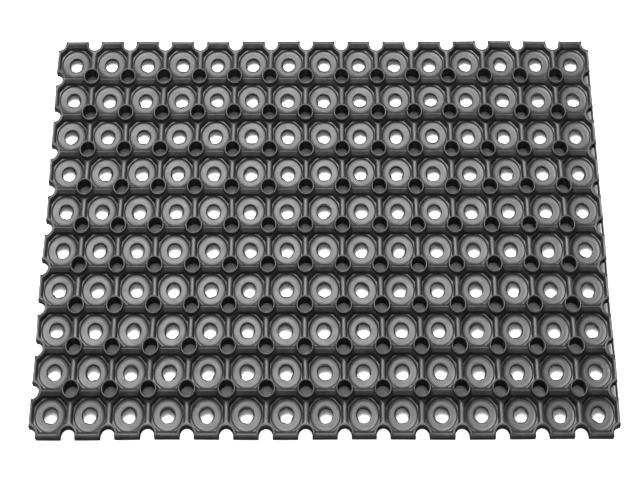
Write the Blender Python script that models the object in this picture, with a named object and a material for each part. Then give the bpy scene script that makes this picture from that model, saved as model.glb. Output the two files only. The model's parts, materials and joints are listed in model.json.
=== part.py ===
"""Rubber ring mat with octagonal pockets, laid flat with its tread up.

The real mat is one moulding. It bends between its columns of cells, so each
column is a solid of its own here, hinged to the next one where the rubber flexes.
X runs along the mat's length, Y across its width and Z up. The origin is on the
ground, under the middle of the mat.
"""

import math

import bmesh
import bpy

# The grid of cells, in metres like every size here.
COLUMNS = 15
ROWS = 10
PITCH_X = 0.040
PITCH_Y = 0.048

# Levels above the ground.
HEIGHT = 0.023
FLOOR_LEVEL = 0.0090
UNDERSIDE_LEVEL = 0.006

# The pocket of each cell: the ridge left between two pockets, and how far the
# pocket's walls lean in by the time they reach its floor.
RIDGE_WIDTH = 0.004
POCKET_DRAFT = 0.0012

# The drain hole in each floor, and the ring foot that goes round it below.
DRAIN_WIDTH = 0.0147
DRAIN_DEPTH = 0.0170
FOOT_WALL = 0.0035

# The hole where four cells meet, and the rubber between it and the pockets.
CORNER_WIDTH = 0.0150
CORNER_DEPTH = 0.0176
CORNER_WALL = 0.0028

# A thin web closes the half holes along the right-hand edge.
EDGE_WEB = 0.0015

# Where two columns meet: the gap at the tread, and how far each side leans back
# at the underside, which leaves room for the mat to droop.
FLEX_GAP = 0.0003
FLEX_DRAFT = 0.0012

# Round holes are drawn with this many sides, a multiple of four.
SIDES = 8

RUBBER_COLOUR = (0.018, 0.018, 0.018, 1.0)
RUBBER_ROUGHNESS = 0.55


def clear_scene():
    """Remove whatever the scene holds."""
    for obj in list(bpy.data.objects):
        bpy.data.objects.remove(obj, do_unlink=True)


def rubber_material(name):
    """The plain black rubber of one column."""
    material = bpy.data.materials.new(name)
    material.use_nodes = True
    shader = material.node_tree.nodes["Principled BSDF"]
    shader.inputs["Base Color"].default_value = RUBBER_COLOUR
    shader.inputs["Roughness"].default_value = RUBBER_ROUGHNESS
    shader.inputs["Metallic"].default_value = 0.0
    return material


def arc(x, y, first, last):
    """Points on a corner hole centred at x, y, from one angle down to another, in degrees."""
    step = 360 // SIDES
    points = []
    for angle in range(first, last - step, -step):
        turn = math.radians(angle)
        points.append((
            x + CORNER_WIDTH / 2 * math.cos(turn),
            y + CORNER_DEPTH / 2 * math.sin(turn),
        ))
    return points


def oval(y, width, depth):
    """Points on a round hole or foot in the middle of a cell, at y along the column."""
    points = []
    for side in range(SIDES):
        turn = math.tau * (side + 0.5) / SIDES
        points.append((width / 2 * math.cos(turn), y + depth / 2 * math.sin(turn)))
    return points


def octagon(y, inset):
    """The pocket's outline at y along the column, drawn in by inset from the tread's outline."""
    side_x = (PITCH_X - RIDGE_WIDTH) / 2 - inset
    side_y = (PITCH_Y - RIDGE_WIDTH) / 2 - inset
    corner_reach = max(CORNER_WIDTH, CORNER_DEPTH) / 2 + CORNER_WALL + inset
    diagonal = (PITCH_X + PITCH_Y) / 2 - corner_reach * math.sqrt(2)
    quarter = [(side_x, diagonal - side_x), (diagonal - side_y, side_y)]
    points = []
    for sign_x, sign_y in ((1, 1), (-1, 1), (-1, -1), (1, -1)):
        corner = [(sign_x * px, y + sign_y * py) for px, py in quarter]
        points += corner if sign_x * sign_y > 0 else corner[::-1]
    return points


def outline(left, right, borders, closed_right):
    """The column's outline, anticlockwise, with a bite at each corner hole."""
    first, last = borders[0], borders[-1]
    inner = borders[1:-1]
    points = arc(right, first, 180, 90)
    for y in inner:
        points += [] if closed_right else arc(right, y, 270, 90)
    points += arc(right, last, 270, 180)
    points += arc(left, last, 360, 270)
    for y in reversed(inner):
        points += arc(left, y, 90, -90)
    points += arc(left, first, 90, 0)
    return points


def leaned(points):
    """An outline with both of its long sides drawn in by the flex draft."""
    return [(x - math.copysign(FLEX_DRAFT, x), y) for x, y in points]


def ring(bm, points, z):
    """A closed loop of vertices at one level."""
    return [bm.verts.new((x, y, z)) for x, y in points]


def band(bm, first, second):
    """Faces between two loops that match vertex for vertex."""
    count = len(first)
    for i in range(count):
        j = (i + 1) % count
        bm.faces.new((first[i], first[j], second[j], second[i]))


def plate(bm, loops):
    """A flat face at one level, between its outer loop and the loops inside it."""
    edges = []
    for loop in loops:
        for i, start in enumerate(loop):
            end = loop[(i + 1) % len(loop)]
            edges.append(bm.edges.get((start, end)) or bm.edges.new((start, end)))
    bmesh.ops.triangle_fill(bm, edges=edges, use_beauty=True, use_dissolve=False)


def add_cell(bm, y):
    """One pocket with its drain hole and ring foot. Returns its loops at the tread and the underside."""
    pocket_top = ring(bm, octagon(y, 0.0), HEIGHT)
    pocket_floor = ring(bm, octagon(y, POCKET_DRAFT), FLOOR_LEVEL)
    drain_top = ring(bm, oval(y, DRAIN_WIDTH, DRAIN_DEPTH), FLOOR_LEVEL)
    drain_foot = ring(bm, oval(y, DRAIN_WIDTH, DRAIN_DEPTH), 0.0)
    foot_size = (DRAIN_WIDTH + 2 * FOOT_WALL, DRAIN_DEPTH + 2 * FOOT_WALL)
    foot_bottom = ring(bm, oval(y, *foot_size), 0.0)
    foot_top = ring(bm, oval(y, *foot_size), UNDERSIDE_LEVEL)
    loops = (pocket_top, pocket_floor, drain_top, drain_foot, foot_bottom, foot_top)
    for upper, lower in zip(loops, loops[1:]):
        band(bm, upper, lower)
    return pocket_top, foot_top


def column_mesh(name, number):
    """The solid of one column of cells, centred on its own middle."""
    at_left_end = number == 1
    at_right_end = number == COLUMNS
    left = -PITCH_X / 2 + (0.0 if at_left_end else FLEX_GAP / 2)
    right = PITCH_X / 2 - (0.0 if at_right_end else FLEX_GAP / 2)
    borders = [(row - ROWS / 2) * PITCH_Y for row in range(ROWS + 1)]
    edge = outline(left, right, borders, at_right_end)

    bm = bmesh.new()
    tread = [ring(bm, edge, HEIGHT)]
    underside = [ring(bm, leaned(edge), UNDERSIDE_LEVEL)]
    if at_right_end:
        for y in borders[1:-1]:
            closed_hole = arc(right - EDGE_WEB, y, 270, 90)
            tread.append(ring(bm, closed_hole, HEIGHT))
            underside.append(ring(bm, leaned(closed_hole), UNDERSIDE_LEVEL))
    for upper, lower in zip(tread, underside):
        band(bm, upper, lower)
    for row in range(ROWS):
        pocket_top, foot_top = add_cell(bm, (borders[row] + borders[row + 1]) / 2)
        tread.append(pocket_top)
        underside.append(foot_top)
    plate(bm, tread)
    plate(bm, underside)
    bmesh.ops.recalc_face_normals(bm, faces=bm.faces)

    mesh = bpy.data.meshes.new(name)
    bm.to_mesh(mesh)
    bm.free()
    return mesh


def column_centre(number):
    """X of the middle of a column, numbered from 1 at the left."""
    return (number - (COLUMNS + 1) / 2) * PITCH_X


def hinge_x(number):
    """X of the flex line on the side of a column that faces the middle of the mat."""
    middle = (COLUMNS + 1) // 2
    toward_middle = (middle > number) - (middle < number)
    return column_centre(number) + toward_middle * PITCH_X / 2


def add_column(number, neighbour):
    """One column, standing on its flex line and held by the neighbour nearer the middle."""
    name = f"cell_column_{number:02d}"
    mesh = column_mesh(name, number)
    origin = (hinge_x(number), 0.0, HEIGHT if neighbour else 0.0)
    for vertex in mesh.vertices:
        vertex.co.x += column_centre(number) - origin[0]
        vertex.co.z -= origin[2]
    mesh.materials.append(rubber_material(f"{name}_rubber"))
    column = bpy.data.objects.new(name, mesh)
    bpy.context.scene.collection.objects.link(column)
    column.location = origin
    if neighbour:
        held_at = (hinge_x(neighbour["number"]), 0.0, neighbour["level"])
        column.parent = neighbour["object"]
        column.location = [a - b for a, b in zip(origin, held_at)]
    return {"object": column, "number": number, "level": origin[2]}


def build():
    """The whole mat: the middle column, then its neighbours outwards on both sides."""
    clear_scene()
    middle = (COLUMNS + 1) // 2
    root = add_column(middle, None)
    for step in (-1, 1):
        held = root
        number = middle + step
        while 1 <= number <= COLUMNS:
            held = add_column(number, held)
            number += step


build()
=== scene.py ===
"""Finish of a moulded rubber ring mat.

It has octagonal pockets with drain holes, rimmed corner holes and ring feet. The mat
is one moulding, so its visible skin is continuous. Each flexing piece runs from the
middle of one column of cells to the middle of the next, over the flex line between
them. Two half columns close the ends.
"""
import json
import math

import bpy
import numpy as np
from bpy.props import FloatProperty, FloatVectorProperty, IntProperty, PointerProperty
from mathutils import Matrix, Vector


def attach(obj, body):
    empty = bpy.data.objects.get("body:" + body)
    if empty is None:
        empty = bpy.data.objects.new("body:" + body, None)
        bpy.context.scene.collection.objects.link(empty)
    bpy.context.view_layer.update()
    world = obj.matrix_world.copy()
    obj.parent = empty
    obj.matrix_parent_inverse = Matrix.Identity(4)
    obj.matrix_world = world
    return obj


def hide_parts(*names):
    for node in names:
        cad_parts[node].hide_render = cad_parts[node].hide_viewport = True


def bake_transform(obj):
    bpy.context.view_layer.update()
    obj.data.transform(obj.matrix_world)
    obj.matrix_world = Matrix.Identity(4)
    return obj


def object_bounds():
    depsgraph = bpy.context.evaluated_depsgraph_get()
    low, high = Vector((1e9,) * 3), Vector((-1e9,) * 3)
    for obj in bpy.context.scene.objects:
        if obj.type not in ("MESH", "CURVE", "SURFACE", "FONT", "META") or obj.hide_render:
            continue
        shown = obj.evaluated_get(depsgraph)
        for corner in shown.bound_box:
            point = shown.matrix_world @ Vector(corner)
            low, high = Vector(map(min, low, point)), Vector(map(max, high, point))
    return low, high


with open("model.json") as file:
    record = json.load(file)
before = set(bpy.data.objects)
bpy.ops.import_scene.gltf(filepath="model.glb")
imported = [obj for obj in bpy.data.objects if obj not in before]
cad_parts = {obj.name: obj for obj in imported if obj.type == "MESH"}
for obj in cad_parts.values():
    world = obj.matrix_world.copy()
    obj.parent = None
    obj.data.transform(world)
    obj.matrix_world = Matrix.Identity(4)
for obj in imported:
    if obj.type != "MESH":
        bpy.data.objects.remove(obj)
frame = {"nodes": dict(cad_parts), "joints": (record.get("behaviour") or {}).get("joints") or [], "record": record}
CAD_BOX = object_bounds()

bl_info = {
    "name": "Rubber ring mat",
    "version": (1, 0, 0),
    "blender": (4, 5, 0),
    "location": "3D View > Sidebar > Ring mat",
    "description": "Builds the skin, finish and studio of a moulded rubber ring mat",
    "category": "Object",
}

# ---------------------------------------------------------------- the frame's own measures

COLUMN_NODES = sorted(frame["nodes"])
BODY_OF_NODE = {
    node: body
    for body, nodes in frame["record"]["behaviour"]["bodies"].items()
    for node in nodes
}
COLUMNS = len(COLUMN_NODES)
MAT_LOW, MAT_HIGH = CAD_BOX
FLEX_LINES = sorted(joint["pos_m"][0] for joint in frame["joints"])
PITCH_X = FLEX_LINES[1] - FLEX_LINES[0]
ROWS = 10
PITCH_Y = (MAT_HIGH.y - MAT_LOW.y) / ROWS
TREAD_LEVEL = MAT_HIGH.z

# Mesh density: segments along a quarter of a cell's rim, first beside the
# pocket, then round the corner hole, then along the next side.
SIDE_STEPS = 3
ARC_STEPS = 6
QUARTER_STEPS = SIDE_STEPS + ARC_STEPS + SIDE_STEPS

# Where rings of points lie on a ridge, from 0 at the pocket's edge to 1 at its crest.
CREST_STATIONS = (0.08, 0.3, 0.6, 0.82, 0.93)

# Points that round to the same multiple of this are welded.
WELD = 1e-6

# Edges that bend by more than this are drawn crisp.
CRISP_ANGLE = math.radians(48)


class RingMatSizes(bpy.types.PropertyGroup):
    """Sizes of one cell of the mat."""

    rim_level: FloatProperty(
        name="Rim level", description="Height of the rims round the corner holes above the ground",
        default=TREAD_LEVEL, unit="LENGTH")
    ridge_level: FloatProperty(
        name="Ridge level", description="Height of the ridges between pockets above the ground",
        default=0.0166, unit="LENGTH")
    ledge_level: FloatProperty(
        name="Ledge level", description="Height of the narrow ledge at the foot of the pocket's walls",
        default=0.0098, unit="LENGTH")
    floor_level: FloatProperty(
        name="Floor level", description="Height of the pocket's round floor above the ground",
        default=0.0082, unit="LENGTH")
    underside_level: FloatProperty(
        name="Underside level", description="Height of the underside between the dishes",
        default=0.0078, unit="LENGTH")
    floor_thickness: FloatProperty(
        name="Floor thickness", description="Thickness of the pocket's floor round the drain hole",
        default=0.0024, unit="LENGTH")
    side_ridge: FloatProperty(
        name="Ridge between columns", description="Width of a ridge between two columns of cells",
        default=0.0058, unit="LENGTH")
    cross_ridge: FloatProperty(
        name="Ridge between rows", description="Width of a ridge between two rows of cells",
        default=0.0084, unit="LENGTH")
    ridge_round: FloatProperty(
        name="Ridge rounding", description="Height of a ridge's rounded top",
        default=0.0016, unit="LENGTH")
    cross_round: FloatProperty(
        name="Cross ridge rounding", description="Height of the rounded top of a ridge between rows",
        default=0.0030, unit="LENGTH")
    wall_draft: FloatProperty(
        name="Wall draft", description="How far a pocket's walls lean in from the ridge to the ledge",
        default=0.0005, unit="LENGTH")
    dish_radius: FloatProperty(
        name="Dish radius", description="Radius of the round floor along the mat's length",
        default=0.0157, unit="LENGTH")
    drain_radius: FloatProperty(
        name="Drain radius", description="Radius of the drain hole along the mat's length",
        default=0.0074, unit="LENGTH")
    corner_radius: FloatProperty(
        name="Corner hole radius",
        description="Radius of the hole where four cells meet, along the length",
        default=0.0071, unit="LENGTH")
    rim_crest: FloatProperty(
        name="Rim crest", description="Distance from a corner hole's edge to the crest of its rim",
        default=0.0012, unit="LENGTH")
    rim_width: FloatProperty(
        name="Rim width", description="Distance from a corner hole's edge to the foot of its rim",
        default=0.0027, unit="LENGTH")
    edge_rise: FloatProperty(
        name="Edge rim rise",
        description="How far the rims of the half holes along the edges stand above the ridges",
        default=0.0005, unit="LENGTH")
    rim_shoulder: FloatProperty(
        name="Rim shoulder", description="Width of the shoulder between a rim's foot and the pockets",
        default=0.0006, unit="LENGTH")
    foot_radius: FloatProperty(
        name="Foot radius", description="Inner radius of the ring foot below each pocket",
        default=0.0098, unit="LENGTH")
    foot_wall: FloatProperty(
        name="Foot wall", description="Thickness of the ring foot below each pocket",
        default=0.0028, unit="LENGTH")
    edge_round: FloatProperty(
        name="Edge rounding", description="Rounding of the mat's outer edges",
        default=0.0008, unit="LENGTH")
    long_edge: FloatProperty(
        name="Long edge",
        description="How far the two long edges stand outside their last ridge's middle",
        default=0.0034, unit="LENGTH")
    short_edge: FloatProperty(
        name="Short edge",
        description="How far the two short edges stand outside their last ridge's middle",
        default=0.0004, unit="LENGTH")
    web_thickness: FloatProperty(
        name="Web thickness", description="Thickness of the web that closes the right-hand half holes",
        default=0.0015, unit="LENGTH")
    flash: FloatProperty(
        name="Flash", description="Most that ragged mould flash reaches into a drain hole",
        default=0.0013, unit="LENGTH")
    wander: FloatProperty(
        name="Wander", description="About how far the soft moulding wanders from its grid",
        default=0.0006, unit="LENGTH")
    seed: IntProperty(
        name="Seed", description="Seed of the flash and the wander", default=7)


class RingMatFinish(bpy.types.PropertyGroup):
    """Colours and surface of the rubber."""

    rubber: FloatVectorProperty(
        name="Rubber", description="Colour of the clean black rubber",
        default=(0.013, 0.013, 0.0133, 1.0), size=4, subtype="COLOR", min=0.0, max=1.0)
    bloom: FloatVectorProperty(
        name="Bloom", description="Colour of the greyish bloom on moulded rubber",
        default=(0.032, 0.032, 0.0325, 1.0), size=4, subtype="COLOR", min=0.0, max=1.0)
    dust: FloatVectorProperty(
        name="Dust", description="Colour of the fine dust in the pockets",
        default=(0.08, 0.079, 0.077, 1.0), size=4, subtype="COLOR", min=0.0, max=1.0)
    dust_amount: FloatProperty(
        name="Dust amount", description="How much dust lies in the pockets",
        default=0.25, min=0.0, max=1.0, subtype="FACTOR")
    sheen_roughness: FloatProperty(
        name="Roughness", description="Roughness of the moulded surface",
        default=0.32, min=0.0, max=1.0, subtype="FACTOR")


class RingMatStudio(bpy.types.PropertyGroup):
    """Camera and lights."""

    camera_tilt: FloatProperty(
        name="Camera tilt", description="Angle of the view away from straight down",
        default=math.radians(29.1), subtype="ANGLE")
    camera_roll: FloatProperty(
        name="Camera roll", description="Turn of the picture about the view's line",
        default=math.radians(-0.107), subtype="ANGLE")
    camera_distance: FloatProperty(
        name="Camera distance", description="Distance from the camera to the point it looks at",
        default=1.975, unit="LENGTH")
    focal_length: FloatProperty(
        name="Focal length", description="Focal length for a 36 mm wide frame, in millimetres",
        default=103.2)
    look_at: FloatVectorProperty(
        name="Look at", description="Point that the camera looks at",
        default=(-0.0045, -0.0101, 0.006), subtype="XYZ")
    softbox_power: FloatProperty(
        name="Softbox power", description="Power of the large light behind and above the mat, in watts",
        default=40.0)
    wide_power: FloatProperty(
        name="Wide power", description="Power of the wide, weaker light in the same place, in watts",
        default=22.0)
    overhead_power: FloatProperty(
        name="Overhead power", description="Power of the light above and to the left, in watts",
        default=8.0)
    overhead_offset: FloatVectorProperty(
        name="Overhead offset",
        description="Where that light stands, from the point the camera looks at",
        default=(-0.45, 0.27, 1.7), subtype="XYZ")
    front_power: FloatProperty(
        name="Front power", description="Power of the large weak light in front of the mat, in watts",
        default=6.0)
    front_offset: FloatVectorProperty(
        name="Front offset",
        description="Where that light stands, from the point the camera looks at",
        default=(0.25, -0.75, 1.75), subtype="XYZ")
    # Painted light: the floor glows to the camera outside the mat and a little in under these edges, which hides
    # the mat's cast shadow there.
    glow_inset: FloatVectorProperty(
        name="Glow inset",
        description="How far the floor's glow reaches in under the left, near and far edges",
        default=(0.0075, 0.015, 0.004), subtype="XYZ")
    surround: FloatProperty(
        name="Surround", description="Strength of the light from the plain white surround",
        default=0.42, min=0.0)
    floor: FloatVectorProperty(
        name="Floor", description="Colour of the floor where the lights alone light it",
        default=(0.9, 0.9, 0.9, 1.0), size=4, subtype="COLOR", min=0.0, max=1.0)


# ---------------------------------------------------------------- shape of one quarter of a cell

# Ovals and octagons are this much longer across the mat than along it.
STRETCH = PITCH_Y / PITCH_X


def quarter_oval(radius):
    """A quarter of an oval about the cell's middle, from the X axis to the Y axis."""
    turn = np.linspace(0, math.pi / 2, QUARTER_STEPS + 1)
    return np.stack([radius * np.cos(turn), radius * STRETCH * np.sin(turn)], 1)


def span(start, end, steps, with_end=False):
    """Evenly spaced points from start to end."""
    t = np.linspace(0, 1, steps + 1)[:, None]
    points = np.array(start) * (1 - t) + np.array(end) * t
    return points if with_end else points[:-1]


def corner_arc(sizes, reach):
    """Points round the corner hole in the first quarter, at a distance outside its edge."""
    radius = sizes.corner_radius + reach
    turn = np.linspace(1.5 * math.pi, math.pi, ARC_STEPS + 1)
    x = PITCH_X / 2 + radius * np.cos(turn)
    y = PITCH_Y / 2 + radius * STRETCH * np.sin(turn)
    return np.stack([x, y], 1)


def quarter_rim(sizes, reach):
    """The cell's border: its side, the arc round the corner hole, and its other side."""
    arc = corner_arc(sizes, reach)
    first = span((PITCH_X / 2, 0.0), arc[0], SIDE_STEPS)
    last = span(arc[-1], (0.0, PITCH_Y / 2), SIDE_STEPS, with_end=True)
    return np.concatenate([first, arc[:-1], last])


def quarter_octagon(sizes, inset):
    """The pocket's octagon, with as many points as the border."""
    side_x = (PITCH_X - sizes.side_ridge) / 2 - inset
    side_y = (PITCH_Y - sizes.cross_ridge) / 2 - inset
    reach = sizes.corner_radius + sizes.rim_width + sizes.rim_shoulder + inset
    cut = PITCH_X - reach * math.sqrt(2)
    first = (side_x, (cut - side_x) * STRETCH)
    second = (cut - side_y / STRETCH, side_y)
    return np.concatenate([
        span((side_x, 0.0), first, SIDE_STEPS),
        span(first, second, ARC_STEPS),
        span(second, (0.0, side_y), SIDE_STEPS, with_end=True),
    ])


def level(points, z):
    """Points in plan given a height, one for all or one for each."""
    return np.concatenate([points, np.broadcast_to(z, (len(points),))[:, None]], 1)


def rounding(steps):
    """(across, up) of a quarter round from a wall to its crest, ends left out."""
    turn = np.linspace(0, math.pi / 2, steps + 1)[1:-1]
    return [(1 - math.cos(a), math.sin(a)) for a in turn]


def domed(station):
    """Height of a domed ridge, from 0 at its edge to 1 at its crest."""
    return math.sqrt(1 - (1 - station) ** 2)


def roofed(station):
    """Height of a ridge shaped like a roof with a narrow round crest."""
    soft = 0.12
    return 1 - (math.hypot(1 - station, soft) - soft) / (math.hypot(1, soft) - soft)


def upper_rings(sizes):
    """Rings of one quarter cell, from the ring foot up the drain hole to the ridges' crest."""
    drain, dish, foot = sizes.drain_radius, sizes.dish_radius, sizes.foot_radius
    floor, ledge = sizes.floor_level, sizes.ledge_level
    below = floor - sizes.floor_thickness
    rings = [level(quarter_oval(radius), z) for radius, z in (
        (foot + 0.0005, 0.0),
        (foot, 0.0008),
        (foot - 0.0002, below - 0.0008),
        (foot - 0.0010, below),
        (drain + 0.0004, below),
        (drain, below + 0.0004),
        (drain, below + 0.0012),
        (drain, floor - 0.0008),
        (drain + 0.0005, floor - 0.0001),
        (drain + 0.0013, floor),
        ((drain + dish) / 2, floor),
        (dish - 0.0011, floor),
        (dish - 0.0003, floor + 0.0005),
        (dish, ledge - 0.0004),
        (dish + 0.0004, ledge),
    )]
    part = np.clip((np.arange(QUARTER_STEPS + 1) - SIDE_STEPS) / ARC_STEPS, 0, 1)
    drop = sizes.ridge_round + (sizes.cross_round - sizes.ridge_round) * part
    edge = level(quarter_octagon(sizes, 0.0), sizes.ridge_level - drop)
    crest = level(quarter_rim(sizes, sizes.rim_width), sizes.ridge_level)
    rings.append(level(quarter_octagon(sizes, sizes.wall_draft + 0.0004), ledge))
    rings.append(level(quarter_octagon(sizes, sizes.wall_draft), ledge + 0.0006))
    rings.append(edge)
    for station in CREST_STATIONS:
        ring = edge + (crest - edge) * station
        ring[:, 2] = edge[:, 2] + drop * (domed(station) * (1 - part) + roofed(station) * part)
        rings.append(ring)
    rings.append(crest)
    return rings


def lower_rings(sizes):
    """Rings of one quarter cell over the underside, from the border in to the ring foot."""
    foot = sizes.foot_radius + sizes.foot_wall
    dish = sizes.dish_radius + 0.0018
    under = sizes.underside_level
    below = sizes.floor_level - sizes.floor_thickness
    return [level(quarter_rim(sizes, sizes.edge_round), under)] + [
        level(quarter_oval(radius), z) for radius, z in (
            (dish + 0.0006, under),
            (dish, under - 0.0005),
            (dish - 0.0002, below + 0.0008),
            (dish - 0.0010, below),
            (foot + 0.0010, below),
            (foot, below - 0.0008),
            (foot - 0.0004, 0.0008),
            (foot - 0.0010, 0.0),
        )]


def rim_rows(sizes, high):
    """Rows over a corner hole's rim, from its foot over its crest and down the hole."""
    foot, crest = sizes.rim_width, sizes.rim_crest
    low, under = sizes.ridge_level, sizes.underside_level
    shoulder, lip, rise = crest + 0.0007, high - 0.0015, high - low
    profile = [(foot - 0.0003, low + 0.05 * rise), (shoulder + 0.0002, low + 0.16 * rise)]
    profile.append((shoulder, low + 0.8 * rise))
    profile += [
        (shoulder + (crest - shoulder) * across, high - 0.2 * rise * (1 - up))
        for across, up in rounding(3)
    ]
    profile.append((crest, high))
    profile += [(crest * across, lip + (high - lip) * up) for across, up in reversed(rounding(4))]
    profile += [(0.0, lip), (0.0, (lip + under) / 2), (0.0, under + sizes.edge_round)]
    return [level(corner_arc(sizes, reach), z) for reach, z in profile]


# ---------------------------------------------------------------- meshes from quarters of cells

TREAD, UNDERSIDE = 0, 1


class Skin:
    """Gathers the faces of a stretch of moulding, and welds them where they meet."""

    def __init__(self):
        self.points = []
        self.faces = []
        self.sides = []
        self.count = 0

    def add(self, points):
        """Adds a row of points and returns their numbers."""
        start = self.count
        self.points.append(points)
        self.count += len(points)
        return np.arange(start, self.count)

    def strip(self, first, second, turned, side=TREAD):
        """Quads between two rows of numbered points."""
        quads = np.stack([first[:-1], second[:-1], second[1:], first[1:]], 1)
        self.faces.extend((quads[:, ::-1] if turned else quads).tolist())
        self.sides.extend([side] * len(quads))

    def mesh(self, name, bend):
        """The welded mesh, with each point then moved by bend."""
        points = np.concatenate(self.points)
        keys = np.round(points / WELD).astype(np.int64)
        _, first, number = np.unique(keys, axis=0, return_index=True, return_inverse=True)
        number = number.reshape(-1)
        faces, sides = [], []
        for face, side in zip(self.faces, self.sides):
            corners = list(dict.fromkeys(number[face].tolist()))
            if len(corners) > 2:
                faces.append(corners)
                sides.append(side)
        mesh = bpy.data.meshes.new(name)
        mesh.from_pydata(bend(points[first]), [], faces)
        mesh.polygons.foreach_set("material_index", sides)
        mesh.update()
        return mesh


# Which rings of the drain hole the flash reaches into, and by how much of its length.
FLASH_RINGS = {4: 0.3, 5: 1.0, 6: 0.8, 7: 0.2}

# How many strips, counted from the ring foot, belong to the underside.
FOOT_STRIPS = 4

# The rows of an outer face's rounded edge: how far out and how far down each lies, as
# shares of how far the face stands out and of the edge rounding.
EDGE_ROWS = ((0.4, 0.2), (0.8, 0.7), (0.95, 1.1), (1.0, 1.8))

# How many of a rim's last points lie over its lip and down its hole, where an outer face
# is not rounded.
POINTS_DOWN_HOLE = 5


def add_quarter(skin, sizes, rings, centre, mirror, edges, flash):
    """One quarter of a cell.

    Mirror is the sign of X and of Y, and edges is how far each outer face stands out.
    """
    upper, lower, rim = rings
    sign = np.array([mirror[0], mirror[1], 1.0])
    middle = np.array([centre[0], centre[1], 0.0])
    turned = mirror[0] * mirror[1] < 0

    def put(points):
        return skin.add(points * sign + middle)

    rows = []
    for index, ring in enumerate(upper):
        if index in FLASH_RINGS:
            ring = ring.copy()
            ring[:, :2] *= 1 - (flash / sizes.drain_radius)[:, None] * FLASH_RINGS[index]
        rows.append(put(ring))
    for index, (first, second) in enumerate(zip(rows, rows[1:])):
        skin.strip(first, second, turned, UNDERSIDE if index < FOOT_STRIPS else TREAD)

    below = [put(ring) for ring in lower]
    for first, second in zip(below, below[1:] + rows[:1]):
        skin.strip(first, second, turned, UNDERSIDE)

    arc = slice(SIDE_STEPS, SIDE_STEPS + ARC_STEPS + 1)
    wall = [rows[-1][arc]] + [put(row) for row in rim] + [below[0][arc]]
    for first, second in zip(wall, wall[1:]):
        skin.strip(first, second, turned)

    # An outer face follows the border from the middle of the side to the rim,
    # over the rim's cut end and down its hole, and then closes along the bottom.
    to_rim = (np.arange(SIDE_STEPS + 1), np.arange(QUARTER_STEPS, QUARTER_STEPS - SIDE_STEPS - 1, -1))
    for axis, stand in enumerate(edges):
        if not stand:
            continue
        end = -axis
        top = np.concatenate([upper[-1][to_rim[axis]]] + [row[[end]] for row in rim])
        bottom = lower[0][to_rim[axis]]
        bottom = np.concatenate([bottom, np.repeat(bottom[-1:], len(rim), 0)])
        rounded = np.ones(len(top))
        rounded[-POINTS_DOWN_HOLE:] = 0.0
        face = [top]
        for out, down in EDGE_ROWS:
            row = top.copy()
            row[:, axis] += stand * out
            row[:, 2] -= sizes.edge_round * down * rounded
            face.append(row)
        low = bottom.copy()
        low[:, axis] += stand
        low[:, 2] += sizes.edge_round
        foot = bottom.copy()
        foot[:, axis] += stand - sizes.edge_round / 2
        face += [low, foot, bottom]
        face = [put(row) for row in face]
        for first, second in zip(face, face[1:]):
            skin.strip(first, second, turned != (axis == 1))


def flash_shapes(sizes):
    """How far mould flash reaches into each drain hole, by row, column and angle."""
    mean_reach = 0.35
    swing = 0.42
    fall_off = 0.6
    waves = 6
    rng = np.random.default_rng(sizes.seed + 1)
    around = 4 * QUARTER_STEPS
    turn = np.linspace(0, math.tau, around, endpoint=False)
    shapes = np.zeros((ROWS, COLUMNS, around))
    for row in range(ROWS):
        for column in range(COLUMNS):
            lobes = mean_reach * np.ones(around)
            for wave in range(1, waves + 1):
                size = rng.normal() * swing / wave ** fall_off
                lobes += size * np.cos(wave * turn + rng.uniform(0, math.tau))
            shapes[row, column] = np.clip(lobes, 0.0, 1.0) * sizes.flash
    return shapes


def quarter_of(shape, mirror):
    """The part of a full turn that a quarter of a cell sees, from its X axis to its Y axis."""
    half = 2 * QUARTER_STEPS
    steps = np.arange(QUARTER_STEPS + 1)
    index = steps if mirror[0] > 0 else half - steps
    index = index if mirror[1] > 0 else -index
    return shape[index % len(shape)]


# The wander: how many waves it has, how quickly they swing in radians to the metre, and
# what their sum is divided by so that it stays near the size asked for.
WANDER_WAVES = 7
SLOWEST_WAVE = 12
FASTEST_WAVE = 45
WANDER_SPREAD = 2.6


class Wander:
    """A slow, seeded drift of the soft moulding away from its grid."""

    def __init__(self, sizes):
        rng = np.random.default_rng(sizes.seed)
        self.amount = sizes.wander
        self.waves = []
        for _ in range(WANDER_WAVES):
            wave = rng.uniform(SLOWEST_WAVE, FASTEST_WAVE, 2) * rng.choice((-1, 1), 2)
            phase = rng.uniform(0, math.tau)
            way = rng.normal(size=2)
            self.waves.append((wave, phase, way))

    def __call__(self, points):
        moved = points.copy()
        for wave, phase, way in self.waves:
            swing = np.sin(points[:, :2] @ wave + phase) * self.amount / WANDER_SPREAD
            moved[:, :2] += swing[:, None] * way
        return moved


def half_columns(name, sizes, halves, flash):
    """The mesh of one or two half columns, each given as a column's index and its side, -1 or 1."""
    skin = Skin()
    upper, lower = upper_rings(sizes), lower_rings(sizes)
    raised_rim = rim_rows(sizes, sizes.rim_level)
    low_rim = rim_rows(sizes, sizes.ridge_level + sizes.edge_rise)
    for column, side in halves:
        x = (column - (COLUMNS - 1) / 2) * PITCH_X
        at_end = (side < 0 and column == 0) or (side > 0 and column == COLUMNS - 1)
        for row in range(ROWS):
            y = (row - (ROWS - 1) / 2) * PITCH_Y
            for up in (-1, 1):
                at_side = (up < 0 and row == 0) or (up > 0 and row == ROWS - 1)
                edges = (sizes.short_edge if at_end else 0.0, sizes.long_edge if at_side else 0.0)
                rings = (upper, lower, low_rim if at_end or at_side else raised_rim)
                reach = quarter_of(flash[row, column], (side, up))
                add_quarter(skin, sizes, rings, (x, y), (side, up), edges, reach)
    return skin.mesh(name, Wander(sizes))


def finish_mesh(mesh):
    """Smooth shading with crisp edges, and the tread and underside materials."""
    mesh.materials.append(rubber_material("tread"))
    mesh.materials.append(rubber_material("underside"))
    mesh.shade_smooth()
    mesh.set_sharp_from_angle(angle=CRISP_ANGLE)


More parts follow.
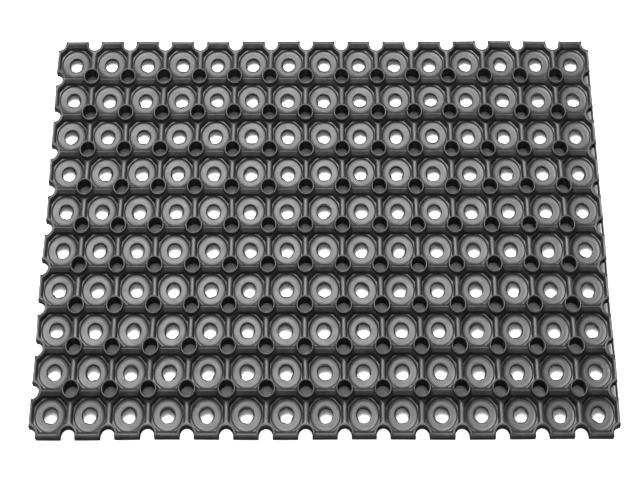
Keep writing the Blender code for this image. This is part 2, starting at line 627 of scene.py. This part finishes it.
def place(name, mesh):
    """An object for a mesh, in the scene."""
    obj = bpy.data.objects.new(name, mesh)
    bpy.context.scene.collection.objects.link(obj)
    return obj


# ---------------------------------------------------------------- materials

def group_named(name, inputs, outputs):
    """An empty shader node group with its sockets, and its two end nodes."""
    tree = bpy.data.node_groups.new(name, "ShaderNodeTree")
    for label, kind, value in inputs:
        socket = tree.interface.new_socket(label, in_out="INPUT", socket_type=kind)
        if value is not None:
            socket.default_value = value
    for label, kind in outputs:
        tree.interface.new_socket(label, in_out="OUTPUT", socket_type=kind)
    return tree, tree.nodes.new("NodeGroupInput"), tree.nodes.new("NodeGroupOutput")


def noise(tree, vector, scale, detail, roughness=0.5):
    """A noise texture on object coordinates."""
    node = tree.nodes.new("ShaderNodeTexNoise")
    node.inputs["Detail"].default_value = detail
    node.inputs["Roughness"].default_value = roughness
    tree.links.new(vector, node.inputs["Vector"])
    if isinstance(scale, (int, float)):
        node.inputs["Scale"].default_value = scale
    else:
        tree.links.new(scale, node.inputs["Scale"])
    return node.outputs["Fac"]


def maths(tree, operation, *values):
    """A math node on sockets or numbers."""
    node = tree.nodes.new("ShaderNodeMath")
    node.operation = operation
    for socket, value in zip(node.inputs, values):
        if isinstance(value, (int, float)):
            socket.default_value = value
        else:
            tree.links.new(value, socket)
    return node.outputs[0]


def remap(tree, value, low, high, to_low=0.0, to_high=1.0):
    """A smooth step of a value from low to high."""
    node = tree.nodes.new("ShaderNodeMapRange")
    node.interpolation_type = "SMOOTHSTEP"
    tree.links.new(value, node.inputs["Value"])
    ends = (("From Min", low), ("From Max", high), ("To Min", to_low), ("To Max", to_high))
    for label, number in ends:
        if isinstance(number, (int, float)):
            node.inputs[label].default_value = number
        else:
            tree.links.new(number, node.inputs[label])
    return node.outputs["Result"]


def grain_group():
    """Moulded grain: a fine pebble on soft swells, as a bump height and a blotch mask."""
    name = "Rubber grain"
    if name in bpy.data.node_groups:
        return bpy.data.node_groups[name]
    tree, start, end = group_named(
        name,
        [("Vector", "NodeSocketVector", None), ("Pebble Scale", "NodeSocketFloat", 1400.0),
         ("Swell Scale", "NodeSocketFloat", 90.0), ("Swell Share", "NodeSocketFloat", 0.4)],
        [("Height", "NodeSocketFloat"), ("Blotch", "NodeSocketFloat")])
    vector = start.outputs["Vector"]
    pebble = noise(tree, vector, start.outputs["Pebble Scale"], 3.0, 0.6)
    swell = noise(tree, vector, start.outputs["Swell Scale"], 4.0, 0.55)
    mix = tree.nodes.new("ShaderNodeMix")
    tree.links.new(start.outputs["Swell Share"], mix.inputs["Factor"])
    tree.links.new(pebble, mix.inputs["A"])
    tree.links.new(swell, mix.inputs["B"])
    tree.links.new(mix.outputs["Result"], end.inputs["Height"])
    tree.links.new(remap(tree, swell, 0.35, 0.7), end.inputs["Blotch"])
    return tree


def dust_group():
    """Dust that settles low in the pockets, in broken patches and specks."""
    name = "Settled dust"
    if name in bpy.data.node_groups:
        return bpy.data.node_groups[name]
    tree, start, end = group_named(
        name,
        [("Vector", "NodeSocketVector", None), ("Normal Z", "NodeSocketFloat", 1.0),
         ("Amount", "NodeSocketFloat", 0.3)],
        [("Mask", "NodeSocketFloat")])
    vector = start.outputs["Vector"]
    patches = remap(tree, noise(tree, vector, 160.0, 5.0, 0.6), 0.42, 0.72)
    specks = remap(tree, noise(tree, vector, 1900.0, 2.0, 0.5), 0.60, 0.74)
    settled = remap(tree, start.outputs["Normal Z"], 0.55, 0.98)
    both = maths(tree, "MAXIMUM", patches, maths(tree, "MULTIPLY", specks, 0.8))
    mask = maths(tree, "MULTIPLY", maths(tree, "MULTIPLY", both, settled), start.outputs["Amount"])
    tree.links.new(mask, end.inputs["Mask"])
    return tree


def wear_group():
    """Wear: a band of height, such as the ridges' crests, rubbed in patches."""
    name = "Rubbed crests"
    if name in bpy.data.node_groups:
        return bpy.data.node_groups[name]
    tree, start, end = group_named(
        name,
        [("Vector", "NodeSocketVector", None), ("Low", "NodeSocketFloat", 0.020),
         ("High", "NodeSocketFloat", 0.022)],
        [("Mask", "NodeSocketFloat")])
    split = tree.nodes.new("ShaderNodeSeparateXYZ")
    tree.links.new(start.outputs["Vector"], split.inputs[0])
    band = remap(tree, split.outputs["Z"], start.outputs["Low"], start.outputs["High"])
    patches = remap(tree, noise(tree, start.outputs["Vector"], 240.0, 4.0), 0.3, 0.7, 0.4, 1.0)
    tree.links.new(maths(tree, "MULTIPLY", band, patches), end.inputs["Mask"])
    return tree


def mix_colour(tree, factor, first, second):
    """A colour mix of sockets or colours."""
    node = tree.nodes.new("ShaderNodeMix")
    node.data_type = "RGBA"
    tree.links.new(factor, node.inputs["Factor"])
    for label, value in (("A", first), ("B", second)):
        socket = [s for s in node.inputs if s.name == label and s.type == "RGBA"][0]
        if isinstance(value, bpy.types.NodeSocket):
            tree.links.new(value, socket)
        else:
            socket.default_value = value
    return [s for s in node.outputs if s.type == "RGBA"][0]


# For each side of the moulding: pebble scale, dust share, wear band and bump strength.
SIDES_OF_RUBBER = {
    "tread": {"pebble": 1500.0, "dust": 1.0, "worn_from": 0.0205, "worn_to": 0.0222, "bump": 0.16},
    "underside": {"pebble": 1100.0, "dust": 0.2, "worn_from": 0.0006, "worn_to": 0.0, "bump": 0.14},
}

RUBBER_IOR = 1.38
GRAIN_DEPTH = 0.0006

# How much the bloom and the rubbed crests show in the colour.
BLOOM_SHARE = 0.6
RUBBED_SHARE = 0.35

# How much smoother than its set roughness the rubber starts, and what each effect adds.
SMOOTHEST = 0.04
BLOTCH_ROUGHNESS = 0.10
DUST_ROUGHNESS = 0.35
RUBBED_ROUGHNESS = -0.06


def rubber_material(side):
    """Black moulded rubber for the tread or the underside."""
    name = f"black_rubber_{side}"
    if name in bpy.data.materials:
        return bpy.data.materials[name]
    values = SIDES_OF_RUBBER[side]
    finish = bpy.context.scene.ring_mat_finish
    material = bpy.data.materials.new(name)
    material.use_nodes = True
    tree = material.node_tree
    shader = tree.nodes["Principled BSDF"]
    coordinates = tree.nodes.new("ShaderNodeTexCoord")
    vector = coordinates.outputs["Object"]

    grain = tree.nodes.new("ShaderNodeGroup")
    grain.node_tree = grain_group()
    grain.inputs["Pebble Scale"].default_value = values["pebble"]
    tree.links.new(vector, grain.inputs["Vector"])

    facing = tree.nodes.new("ShaderNodeSeparateXYZ")
    geometry = tree.nodes.new("ShaderNodeNewGeometry")
    tree.links.new(geometry.outputs["Normal"], facing.inputs[0])
    dust = tree.nodes.new("ShaderNodeGroup")
    dust.node_tree = dust_group()
    dust.inputs["Amount"].default_value = finish.dust_amount * values["dust"]
    tree.links.new(vector, dust.inputs["Vector"])
    tree.links.new(facing.outputs["Z"], dust.inputs["Normal Z"])

    wear = tree.nodes.new("ShaderNodeGroup")
    wear.node_tree = wear_group()
    wear.inputs["Low"].default_value = values["worn_from"]
    wear.inputs["High"].default_value = values["worn_to"]
    tree.links.new(vector, wear.inputs["Vector"])

    bloomed = maths(tree, "MULTIPLY", grain.outputs["Blotch"], BLOOM_SHARE)
    colour = mix_colour(tree, bloomed, tuple(finish.rubber), tuple(finish.bloom))
    rubbed = maths(tree, "MULTIPLY", wear.outputs["Mask"], RUBBED_SHARE)
    colour = mix_colour(tree, rubbed, colour, tuple(finish.bloom))
    colour = mix_colour(tree, dust.outputs["Mask"], colour, tuple(finish.dust))
    tree.links.new(colour, shader.inputs["Base Color"])

    smooth = finish.sheen_roughness - SMOOTHEST
    rough = maths(tree, "MULTIPLY_ADD", grain.outputs["Blotch"], BLOTCH_ROUGHNESS, smooth)
    rough = maths(tree, "MULTIPLY_ADD", dust.outputs["Mask"], DUST_ROUGHNESS, rough)
    rough = maths(tree, "MULTIPLY_ADD", wear.outputs["Mask"], RUBBED_ROUGHNESS, rough)
    tree.links.new(rough, shader.inputs["Roughness"])

    bump = tree.nodes.new("ShaderNodeBump")
    bump.inputs["Strength"].default_value = values["bump"]
    bump.inputs["Distance"].default_value = GRAIN_DEPTH
    tree.links.new(grain.outputs["Height"], bump.inputs["Height"])
    tree.links.new(bump.outputs["Normal"], shader.inputs["Normal"])
    shader.inputs["IOR"].default_value = RUBBER_IOR
    shader.inputs["Metallic"].default_value = 0.0
    return material


# ---------------------------------------------------------------- operators

def column_body(index):
    """The body of a column of cells, counted from 0 at the left."""
    return BODY_OF_NODE[COLUMN_NODES[index]]


def hold(obj, *indexes):
    """Hides the frame's own parts of the columns that a piece stands for."""
    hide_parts(*[COLUMN_NODES[index] for index in indexes])


class RINGMAT_OT_flexing_skin(bpy.types.Operator):
    """Build the stretches of moulding that run over the flex lines"""

    bl_idname = "ring_mat.flexing_skin"
    bl_label = "Flexing skin"

    def execute(self, context):
        sizes = context.scene.ring_mat_sizes
        flash = flash_shapes(sizes)
        for index, x in enumerate(FLEX_LINES):
            name = f"moulding_{index + 1:02d}_{index + 2:02d}"
            mesh = half_columns(name, sizes, [(index, 1), (index + 1, -1)], flash)
            finish_mesh(mesh)
            piece = place(name, mesh)
            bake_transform(piece)
            hold(piece, index, index + 1)
        return {"FINISHED"}


class RINGMAT_OT_end_columns(bpy.types.Operator):
    """Build the half columns at the mat's two ends"""

    bl_idname = "ring_mat.end_columns"
    bl_label = "End columns"

    def execute(self, context):
        sizes = context.scene.ring_mat_sizes
        flash = flash_shapes(sizes)
        for name, index, side in (("moulding_left_end", 0, -1), ("moulding_right_end", COLUMNS - 1, 1)):
            mesh = half_columns(name, sizes, [(index, side)], flash)
            finish_mesh(mesh)
            piece = place(name, mesh)
            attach(piece, column_body(index))
            hold(piece, index)
        return {"FINISHED"}


class RINGMAT_OT_edge_web(bpy.types.Operator):
    """Build the thin web that closes the half holes along the right-hand edge"""

    bl_idname = "ring_mat.edge_web"
    bl_label = "Edge web"

    def execute(self, context):
        sizes = context.scene.ring_mat_sizes
        below_ridges = 0.0004
        points_over_top = 7
        steps_in_row = 8
        outside = MAT_HIGH.x + sizes.short_edge / 2
        inside = outside - sizes.web_thickness
        top = sizes.ridge_level - below_ridges
        bottom = sizes.underside_level + sizes.edge_round
        soft = sizes.web_thickness / 2
        profile = [(inside, bottom), (outside, bottom)]
        for turn in np.linspace(0, math.pi, points_over_top):
            profile.append((outside - soft + soft * math.cos(turn), top - soft + soft * math.sin(turn)))
        profile = np.array(profile)
        end = MAT_HIGH.y - (sizes.corner_radius + sizes.rim_width) * STRETCH
        stations = np.linspace(-end, end, steps_in_row * ROWS + 1)
        points = np.concatenate([
            np.stack([profile[:, 0], np.full(len(profile), y), profile[:, 1]], 1) for y in stations])
        count = len(profile)
        faces = [list(range(count)), [count * (len(stations) - 1) + i for i in reversed(range(count))]]
        for step in range(len(stations) - 1):
            for i in range(count):
                here = step * count + i
                beside = step * count + (i + 1) % count
                faces.append([beside, here, here + count, beside + count])
        mesh = bpy.data.meshes.new("right_edge_web")
        mesh.from_pydata(Wander(sizes)(points), [], faces)
        mesh.update()
        finish_mesh(mesh)
        piece = place("right_edge_web", mesh)
        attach(piece, column_body(COLUMNS - 1))
        return {"FINISHED"}


def aim(obj, position, target, roll=0.0):
    """Stands an object at a position, looking at a target."""
    away = (Vector(position) - Vector(target)).normalized()
    side = Vector((0, 1, 0)).cross(away).normalized()
    up = away.cross(side)
    turn = Matrix((side, up, away)).transposed()
    obj.matrix_world = Matrix.Translation(position) @ turn.to_4x4() @ Matrix.Rotation(roll, 4, "Z")


def area_light(name, position, target, size, power):
    """A rectangular softbox."""
    light = bpy.data.lights.new(name, "AREA")
    light.shape = "RECTANGLE"
    light.size, light.size_y = size
    light.energy = power
    aim(place(name, light), position, target)


# How wide the soft edge of the floor's glow is, in metres. The glow is painted light that hides the mat's cast
# shadow.
GLOW_SOFTNESS = 0.0006

# How bright the floor is in reflections, as a share of its colour: painted shade, so the rubber reflects a dim
# floor.
FLOOR_IN_REFLECTIONS = 0.15


def floor_material(colour, inset):
    """The pale floor. Outside the mat it glows to the camera, painted light that hides the mat's cast shadow, and
    in reflections it is painted dim.
    """
    material = bpy.data.materials.new("studio_floor")
    material.use_nodes = True
    tree = material.node_tree
    shader = tree.nodes["Principled BSDF"]
    shader.inputs["Roughness"].default_value = 0.9
    shader.inputs["Specular IOR Level"].default_value = 0.1
    split = tree.nodes.new("ShaderNodeSeparateXYZ")
    place_on = tree.nodes.new("ShaderNodeTexCoord")
    tree.links.new(place_on.outputs["Object"], split.inputs[0])
    left_edge = MAT_LOW.x + inset[0]
    near_edge = MAT_LOW.y + inset[1]
    far_edge = MAT_HIGH.y - inset[2]
    # Painted light: where the floor glows, past the mat's right edge and in under its other edges, so no cast
    # shadow shows beside the mat.
    right = remap(tree, split.outputs["X"], MAT_HIGH.x, MAT_HIGH.x + GLOW_SOFTNESS)
    left = remap(tree, split.outputs["X"], left_edge, left_edge - GLOW_SOFTNESS)
    near = remap(tree, split.outputs["Y"], near_edge, near_edge - GLOW_SOFTNESS)
    far = remap(tree, split.outputs["Y"], far_edge, far_edge + GLOW_SOFTNESS)
    glow = tree.nodes.new("ShaderNodeCombineColor")
    past_ends = maths(tree, "MAXIMUM", left, right)
    past_sides = maths(tree, "MAXIMUM", near, far)
    outside = maths(tree, "MAXIMUM", past_ends, past_sides)
    for channel in glow.inputs:
        if channel.name in ("Red", "Green", "Blue"):
            tree.links.new(outside, channel)
    tree.links.new(glow.outputs["Color"], shader.inputs["Emission Color"])
    # The painted glow shows to the camera only.
    path = tree.nodes.new("ShaderNodeLightPath")
    tree.links.new(path.outputs["Is Camera Ray"], shader.inputs["Emission Strength"])
    # Painted shade: the floor's colour is dimmed for glossy rays, so the rubber reflects a dim floor.
    dim = tuple(channel * FLOOR_IN_REFLECTIONS for channel in colour[:3]) + (1.0,)
    shade = mix_colour(tree, path.outputs["Is Glossy Ray"], tuple(colour), dim)
    tree.links.new(shade, shader.inputs["Base Color"])
    return material


def studio_world(dim, bright):
    """A plain white surround, bright to the camera and dim as a light."""
    world = bpy.data.worlds.new("studio_surround")
    world.use_nodes = True
    tree = world.node_tree
    background = tree.nodes["Background"]
    background.inputs["Color"].default_value = (1, 1, 1, 1)
    path = tree.nodes.new("ShaderNodeLightPath")
    strength = tree.nodes.new("ShaderNodeMapRange")
    strength.inputs["To Min"].default_value = dim
    strength.inputs["To Max"].default_value = bright
    tree.links.new(path.outputs["Is Camera Ray"], strength.inputs["Value"])
    tree.links.new(strength.outputs["Result"], background.inputs["Strength"])
    bpy.context.scene.world = world


class RINGMAT_OT_stage(bpy.types.Operator):
    """Set up the floor, the soft lights and the camera"""

    bl_idname = "ring_mat.stage"
    bl_label = "Stage"

    def execute(self, context):
        scene = context.scene
        studio = scene.ring_mat_studio
        floor_size = 12.0
        floor_drop = 0.0002
        softbox_distance = 1.5
        softbox_shift = Vector((-0.10, 0, 0))
        bpy.ops.mesh.primitive_plane_add(size=floor_size, location=(0, 0, -floor_drop))
        floor = context.object
        floor.name = "studio_floor"
        floor.data.materials.append(floor_material(studio.floor, studio.glow_inset))

        tilt = studio.camera_tilt
        target = Vector(studio.look_at)
        behind = target + Vector((0, math.sin(tilt), math.cos(tilt))) * softbox_distance
        behind += softbox_shift
        area_light("softbox_behind", behind, target, (1.0, 0.75), studio.softbox_power)
        area_light("softbox_wide", behind, target, (2.0, 0.75), studio.wide_power)
        above = target + Vector(studio.overhead_offset)
        area_light("softbox_above", above, target, (0.6, 0.6), studio.overhead_power)
        before = target + Vector(studio.front_offset)
        area_light("softbox_front", before, target, (1.6, 1.3), studio.front_power)
        studio_world(studio.surround, 1.0)

        camera = bpy.data.objects.new("camera", bpy.data.cameras.new("camera"))
        scene.collection.objects.link(camera)
        camera.data.sensor_width = 36.0
        camera.data.lens = studio.focal_length
        away = Vector((0, -math.sin(tilt), math.cos(tilt))) * studio.camera_distance
        aim(camera, target + away, target, studio.camera_roll)
        scene.camera = camera
        scene.view_settings.view_transform = "Standard"
        return {"FINISHED"}


class RINGMAT_PT_panel(bpy.types.Panel):
    """Everything that builds the mat, in the sidebar"""

    bl_idname = "RINGMAT_PT_panel"
    bl_label = "Ring mat"
    bl_space_type = "VIEW_3D"
    bl_region_type = "UI"
    bl_category = "Ring mat"

    def draw(self, context):
        layout = self.layout
        for operator in OPERATORS:
            layout.operator(operator.bl_idname)
        for group in (context.scene.ring_mat_sizes, context.scene.ring_mat_finish,
                      context.scene.ring_mat_studio):
            box = layout.box()
            for name in group.__annotations__:
                box.prop(group, name)


OPERATORS = (
    RINGMAT_OT_flexing_skin,
    RINGMAT_OT_end_columns,
    RINGMAT_OT_edge_web,
    RINGMAT_OT_stage,
)
GROUPS = (
    (RingMatSizes, "ring_mat_sizes"),
    (RingMatFinish, "ring_mat_finish"),
    (RingMatStudio, "ring_mat_studio"),
)


def register():
    """Registers the sizes, the operators and the panel."""
    for group, name in GROUPS:
        bpy.utils.register_class(group)
        setattr(bpy.types.Scene, name, PointerProperty(type=group))
    for operator in OPERATORS:
        bpy.utils.register_class(operator)
    bpy.utils.register_class(RINGMAT_PT_panel)


def unregister():
    """Takes away what register added."""
    bpy.utils.unregister_class(RINGMAT_PT_panel)
    for operator in reversed(OPERATORS):
        bpy.utils.unregister_class(operator)
    for group, name in reversed(GROUPS):
        delattr(bpy.types.Scene, name)
        bpy.utils.unregister_class(group)


def main():
    """Registers the add-on, then builds every piece and the stage."""
    register()
    bpy.ops.ring_mat.flexing_skin()
    bpy.ops.ring_mat.end_columns()
    bpy.ops.ring_mat.edge_web()
    bpy.ops.ring_mat.stage()


if __name__ == "__main__":
    main()
